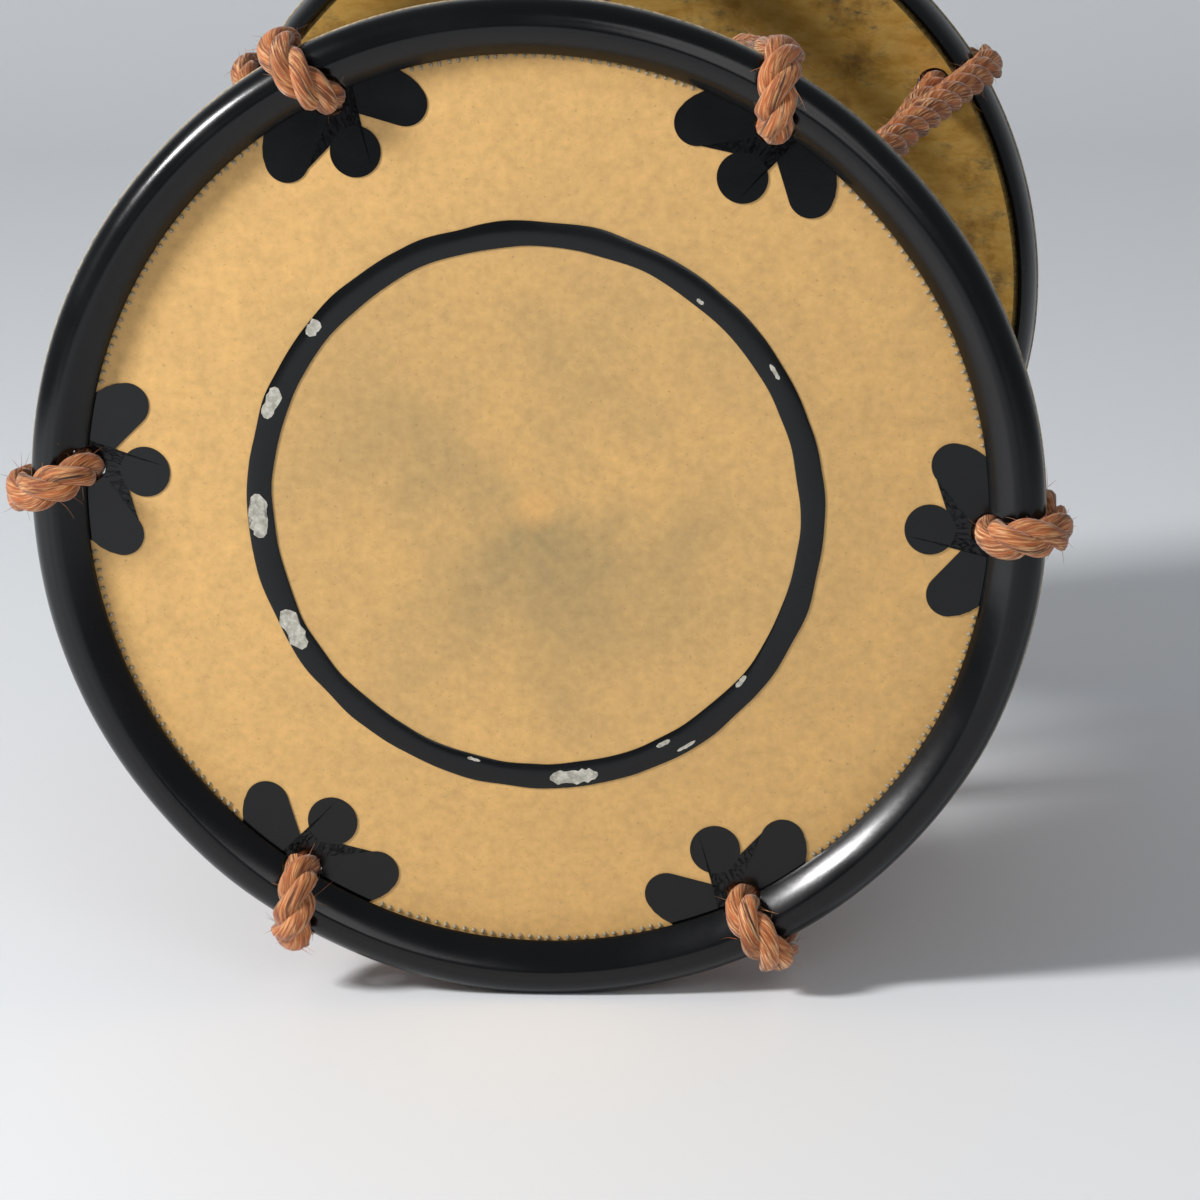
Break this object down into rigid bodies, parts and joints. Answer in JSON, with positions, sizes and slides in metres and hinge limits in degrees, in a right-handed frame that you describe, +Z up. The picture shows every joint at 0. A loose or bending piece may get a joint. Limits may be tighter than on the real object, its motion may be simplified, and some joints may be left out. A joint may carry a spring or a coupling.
{
  "type": "hand drum",
  "caption": "Hourglass hand drum: hide heads on iron rings, laced to each other over a hollow wooden body with a hemp cord.",
  "frame": {"origin": "on the floor under the middle of the drum's bounding box", "axes": "+Z up, +Y along the drum's axis from the front head to the rear head, tipped 1.2 degrees up to the rear as it rests"},
  "size_m": [0.21, 0.2716, 0.2103],
  "materials": {
    "lacquered_wood": "black lacquer on turned zelkova, bare inside",
    "iron": "forged iron rod",
    "straw": "bound straw",
    "hide": "stretched horse hide, matt and mottled",
    "gold_leaf": "worn gold leaf on hide",
    "lacquer": "black urushi lacquer on hide",
    "thread": "hemp thread",
    "cord": "laid hemp cord dyed orange"
  },
  "bodies": {
    "root": {"body": "lacquered_wood", "front_iron_ring": "iron", "front_straw_core": "straw", "front_skin": "hide", "front_inner_hide": "gold_leaf", "front_rim_cover": "lacquer", "front_centre_ring": "lacquer", "front_petal_mark_1": "lacquer", "front_petal_mark_2": "lacquer", "front_petal_mark_3": "lacquer", "front_petal_mark_4": "lacquer", "front_petal_mark_5": "lacquer", "front_petal_mark_6": "lacquer", "front_stitching_1": "thread", "front_stitching_2": "thread", "front_stitching_3": "thread", "front_stitching_4": "thread", "front_stitching_5": "thread", "front_stitching_6": "thread", "rear_iron_ring": "iron", "rear_straw_core": "straw", "rear_skin": "hide", "rear_inner_hide": "gold_leaf", "rear_rim_cover": "lacquer", "rear_centre_ring": "lacquer", "rear_petal_mark_1": "lacquer", "rear_petal_mark_2": "lacquer", "rear_petal_mark_3": "lacquer", "rear_petal_mark_4": "lacquer", "rear_petal_mark_5": "lacquer", "rear_petal_mark_6": "lacquer", "rear_stitching_1": "thread", "rear_stitching_2": "thread", "rear_stitching_3": "thread", "rear_stitching_4": "thread", "rear_stitching_5": "thread", "rear_stitching_6": "thread", "lacing_cord": "cord", "lacing_knot": "cord", "waist_cord": "cord", "waist_knot": "cord"}
  },
  "joints": []
}
